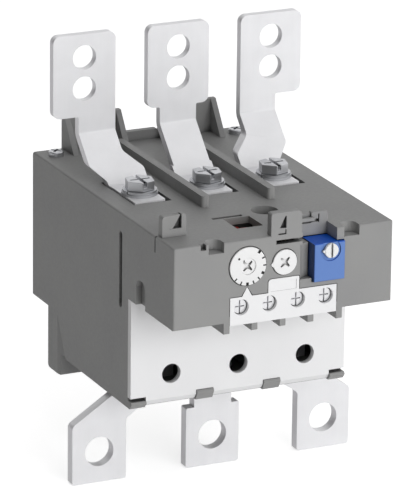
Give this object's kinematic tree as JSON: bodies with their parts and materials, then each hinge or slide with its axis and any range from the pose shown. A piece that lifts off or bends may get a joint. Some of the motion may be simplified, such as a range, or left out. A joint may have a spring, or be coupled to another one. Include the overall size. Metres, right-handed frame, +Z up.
{
  "type": "thermal overload relay",
  "caption": "Thermal overload relay with cranked connection bars, wide terminal bars, setting dials, blue reset button and a sliding bimetal trip mechanism.",
  "frame": {"origin": "centre of the upper hole of the middle input bar, midway between the upper holes of the outer two, on the rear face of the three bars, where they meet the contactor's terminals", "axes": "+X to the right seen from the front, +Y back towards the contactor, +Z up"},
  "size_m": [0.105, 0.1201, 0.1497],
  "materials": {
    "case_grey": "moulded satin grey",
    "cover_white": "moulded satin white",
    "insert_white": "moulded satin white",
    "dial_white": "moulded smooth white",
    "button_blue": "moulded blue",
    "flag_red": "moulded red",
    "frame_plastic": "moulded black",
    "slide_plastic": "moulded natural resin",
    "plated_bar": "tin plated copper, satin",
    "plated_steel": "zinc plated",
    "spring_steel": "bright spring steel",
    "heater_alloy": "oxidised resistance alloy",
    "bimetal": "rolled bimetal",
    "brass": "stamped",
    "silver_contact": "silver rivet"
  },
  "bodies": {
    "housing": {"bimetal_left": "bimetal", "bimetal_middle": "bimetal", "bimetal_right": "bimetal", "case_screws": "plated_steel", "contact_strips": "brass", "control_clamps": "plated_steel", "control_terminal_block": "insert_white", "control_terminal_screws": "plated_steel", "fixed_contacts": "silver_contact", "front_housing": "case_grey", "heater_left": "heater_alloy", "heater_middle": "heater_alloy", "heater_right": "heater_alloy", "input_bar_left": "plated_bar", "input_bar_middle": "plated_bar", "input_bar_right": "plated_bar", "input_bar_screws": "plated_steel", "input_flat_washers": "plated_steel", "input_lock_washers": "plated_steel", "link_nuts": "plated_steel", "link_screws": "plated_steel", "mechanism_plate": "frame_plastic", "output_bar_left": "plated_bar", "output_bar_middle": "plated_bar", "output_bar_right": "plated_bar", "rear_housing": "case_grey", "setting_lever_pin": "plated_steel", "terminal_cover": "cover_white", "terminal_nuts": "plated_steel", "trip_lever_pin": "plated_steel"},
    "setting_dial": {"setting_dial": "dial_white", "setting_cam": "slide_plastic"},
    "setting_lever": {"setting_lever": "slide_plastic"},
    "selector_dial": {"selector_dial": "dial_white"},
    "reset_button": {"reset_button": "button_blue", "reset_spring": "spring_steel"},
    "mode_selector": {"mode_selector": "dial_white"},
    "trip_slide": {"trip_slide": "slide_plastic"},
    "trip_lever": {"trip_lever": "slide_plastic"},
    "contact_carrier": {"contact_carrier": "slide_plastic", "trip_flag": "flag_red", "moving_contacts": "silver_contact"}
  },
  "joints": [
    {"name": "setting_turn", "type": "hinge", "parent": "housing", "child": "setting_dial", "pos_m": [-0.0134, -0.08, -0.0511], "axis": [0, -1, 0], "range_deg": [-142, 46]},
    {"name": "setting_lever_swing", "type": "hinge", "parent": "housing", "child": "setting_lever", "pos_m": [-0.0065, -0.0685, -0.0635], "axis": [0, -1, 0], "range_deg": [-2.3, 7]},
    {"name": "selector_turn", "type": "hinge", "parent": "housing", "child": "selector_dial", "pos_m": [0.0001, -0.08, -0.0514], "axis": [0, -1, 0], "range_deg": [-45, 45]},
    {"name": "reset_press", "type": "slide", "parent": "housing", "child": "reset_button", "axis": [0, 1, 0], "range_m": [0, 0.003], "stiffness_N_per_m": 800},
    {"name": "mode_turn", "type": "hinge", "parent": "reset_button", "child": "mode_selector", "pos_m": [0.0164, -0.089, -0.0491], "axis": [0, -1, 0], "range_deg": [0, 90]},
    {"name": "trip_slide_move", "type": "slide", "parent": "housing", "child": "trip_slide", "axis": [1, 0, 0], "range_m": [0, 0.0015]},
    {"name": "trip_lever_swing", "type": "hinge", "parent": "housing", "child": "trip_lever", "pos_m": [0.0325, -0.066, -0.0545], "axis": [0, -1, 0], "range_deg": [0, 14.4]},
    {"name": "contact_carrier_move", "type": "slide", "parent": "housing", "child": "contact_carrier", "axis": [1, 0, 0], "range_m": [-0.0017, 0]}
  ],
  "couplings": [
    {"joint": "setting_lever_swing", "follows": "setting_turn", "ratio": -0.049},
    {"joint": "trip_lever_swing", "follows": "trip_slide_move", "rad_per_m": 166.67},
    {"joint": "contact_carrier_move", "follows": "trip_slide_move", "ratio": -1.1}
  ]
}
